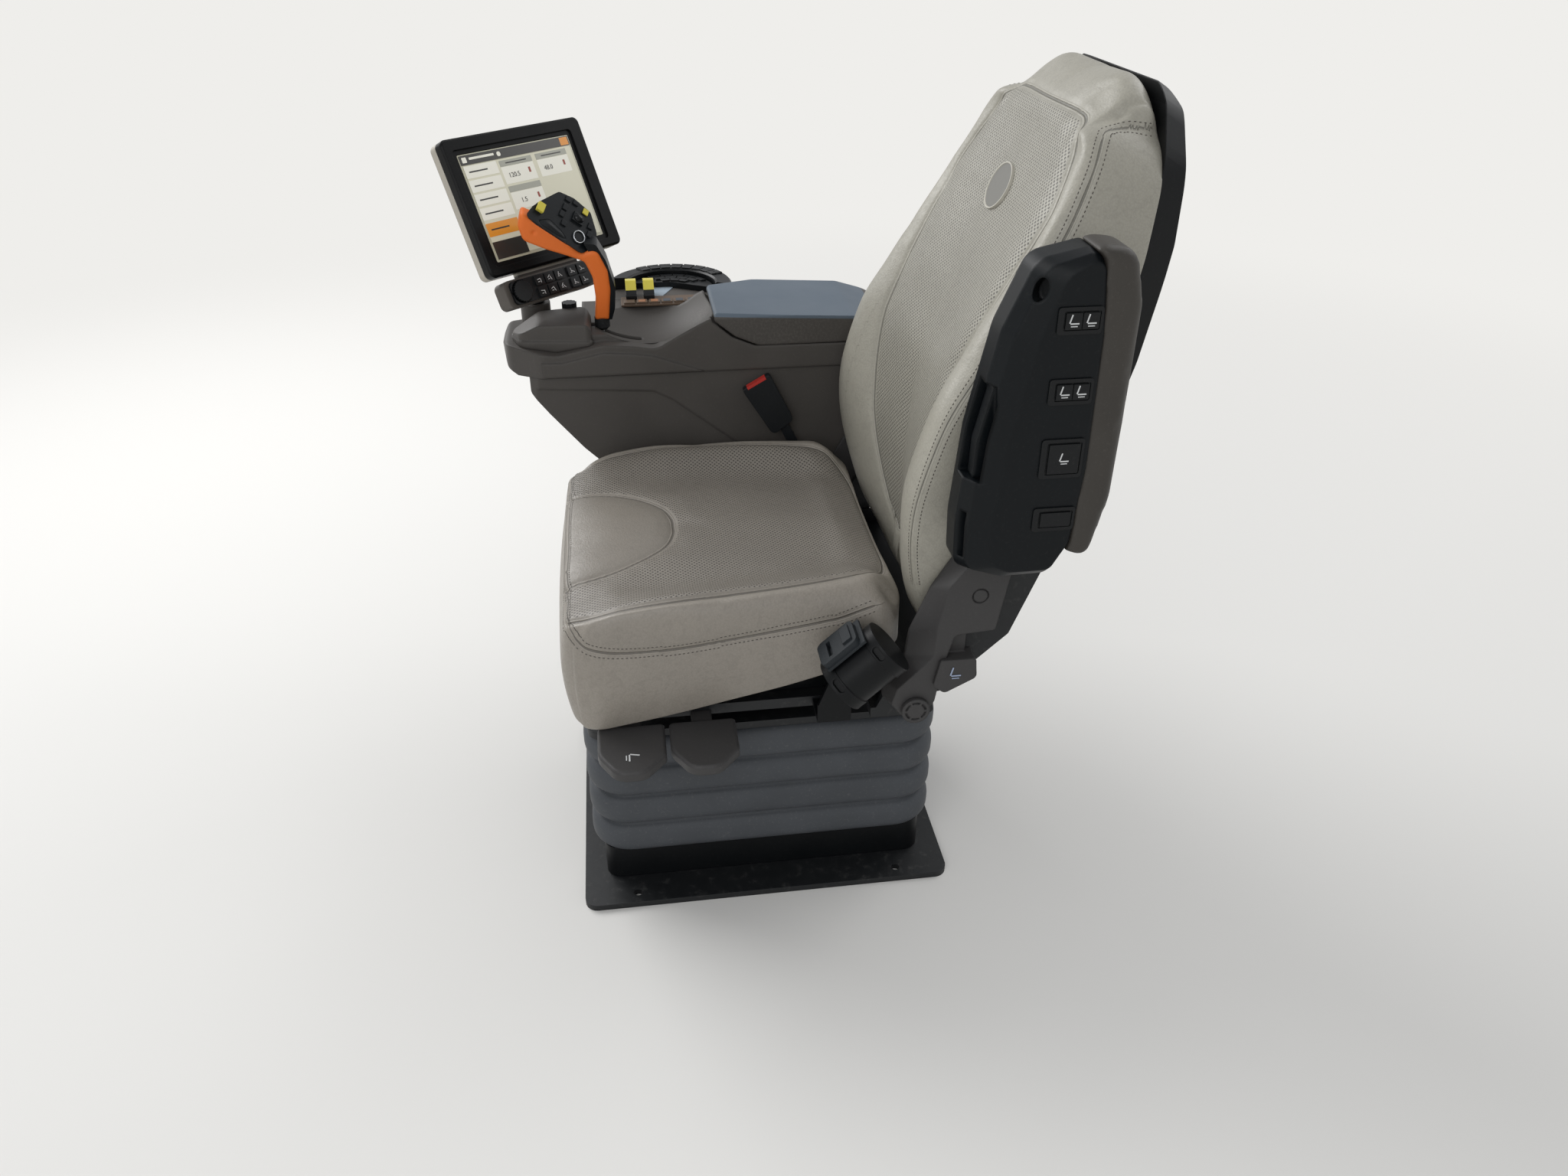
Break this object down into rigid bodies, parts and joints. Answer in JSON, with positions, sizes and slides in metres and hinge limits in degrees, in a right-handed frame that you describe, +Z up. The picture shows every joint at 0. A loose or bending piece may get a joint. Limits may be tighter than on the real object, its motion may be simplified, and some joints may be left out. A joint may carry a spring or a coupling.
{
  "type": "combine harvester operator's seat with control console",
  "caption": "operator's seat on a bellows suspension base, with folding left armrest, sliding right console, lidded storage bin, control lever and tilting display",
  "frame": {"origin": "on the floor under the seat's swivel axis, at the centre of the floor plate's bolt pattern", "axes": "+Z up; the seat faces -Y; +X is the sitter's left, with the folding armrest; the console is on -X"},
  "size_m": [0.9753, 0.9266, 1.1424],
  "materials": {
    "black_steel": "satin powder coat",
    "zinc_steel": "zinc plated, drawn",
    "bellows_rubber": "matt moulded rubber",
    "cushion_leather": "grained, perforated insert, double stitched",
    "back_leather": "grained, perforated insert, double stitched",
    "black_plastic": "fine moulded grain",
    "belt_webbing": "woven webbing with a moulded tongue",
    "brown_plastic": "fine moulded grain",
    "lid_plastic": "soft touch moulding",
    "armrest_vinyl": "padded vinyl",
    "key_plastic": "satin keys",
    "plate_grey": "satin film",
    "polished_steel": "polished",
    "orange_plastic": "satin, soft edges",
    "bezel_plastic": "fine texture",
    "housing_tan": "fine texture",
    "screen_glass": "lit panel behind a clear cover"
  },
  "bodies": {
    "base": {"floor_plate": "black_steel", "plinth": "black_steel", "suspension_bellows": "bellows_rubber", "suspension_top": "black_steel"},
    "turntable": {"turntable_plate": "black_steel", "slide_rails": "zinc_steel"},
    "seat": {"seat_frame": "black_steel", "seat_cushion": "cushion_leather", "cushion_pan": "black_plastic", "adjust_paddles": "black_plastic", "belt_retractor": "black_plastic", "belt_tongue": "belt_webbing", "belt_buckle": "black_plastic", "console_rail": "black_steel"},
    "backrest": {"back_cushion": "back_leather", "back_shell": "black_plastic", "recliner_arms": "black_steel", "side_cover_left": "brown_plastic", "side_cover_right": "brown_plastic", "pivot_cap": "brown_plastic", "recline_handle": "black_plastic", "armrest_bracket": "black_steel"},
    "armrest": {"armrest_housing": "black_plastic", "armrest_pad": "armrest_vinyl", "armrest_switches": "black_plastic"},
    "console": {"console_carriage": "black_steel", "console_base": "brown_plastic", "console_body": "brown_plastic", "nose_cover": "brown_plastic", "control_pod": "brown_plastic", "keypad_arc": "key_plastic", "keypad_inner": "key_plastic", "control_plate": "plate_grey", "throttle_paddles": "black_plastic", "lever_shaft": "polished_steel", "lever_boot": "black_plastic", "lever_grip": "orange_plastic", "lever_head": "black_plastic"},
    "lid": {"storage_lid": "lid_plastic"},
    "display_arm": {"display_post": "black_plastic"},
    "display": {"display_bezel": "bezel_plastic", "display_housing": "housing_tan", "display_screen": "screen_glass", "display_keys": "key_plastic", "display_dial": "key_plastic"}
  },
  "joints": [
    {"name": "seat_swivel", "type": "hinge", "parent": "base", "child": "turntable", "pos_m": [0, 0, 0.31], "axis": [0, 0, 1], "range_deg": [-15, 15]},
    {"name": "seat_slide", "type": "slide", "parent": "turntable", "child": "seat", "axis": [0, 1, 0], "range_m": [-0.08, 0.08]},
    {"name": "backrest_recline", "type": "hinge", "parent": "seat", "child": "backrest", "pos_m": [0, 0.187, 0.389], "axis": [1, 0, 0], "range_deg": [-25, 4]},
    {"name": "armrest_fold", "type": "hinge", "parent": "backrest", "child": "armrest", "pos_m": [0.335, 0.29, 0.65], "axis": [1, 0, 0], "range_deg": [0, 90]},
    {"name": "console_slide", "type": "slide", "parent": "seat", "child": "console", "axis": [0, 1, 0], "range_m": [-0.04, 0.06]},
    {"name": "lid_hinge", "type": "hinge", "parent": "console", "child": "lid", "pos_m": [-0.3725, 0.279, 0.702], "axis": [-1, 0, 0], "range_deg": [0, 80]},
    {"name": "display_pan", "type": "hinge", "parent": "console", "child": "display_arm", "pos_m": [-0.402, -0.303, 0.76], "axis": [0, 0, 1], "range_deg": [-20, 8]},
    {"name": "display_tilt", "type": "hinge", "parent": "display_arm", "child": "display", "pos_m": [-0.402, -0.303, 0.788], "axis": [-0.6717, 0.7408, 0], "range_deg": [-18, 3]}
  ]
}
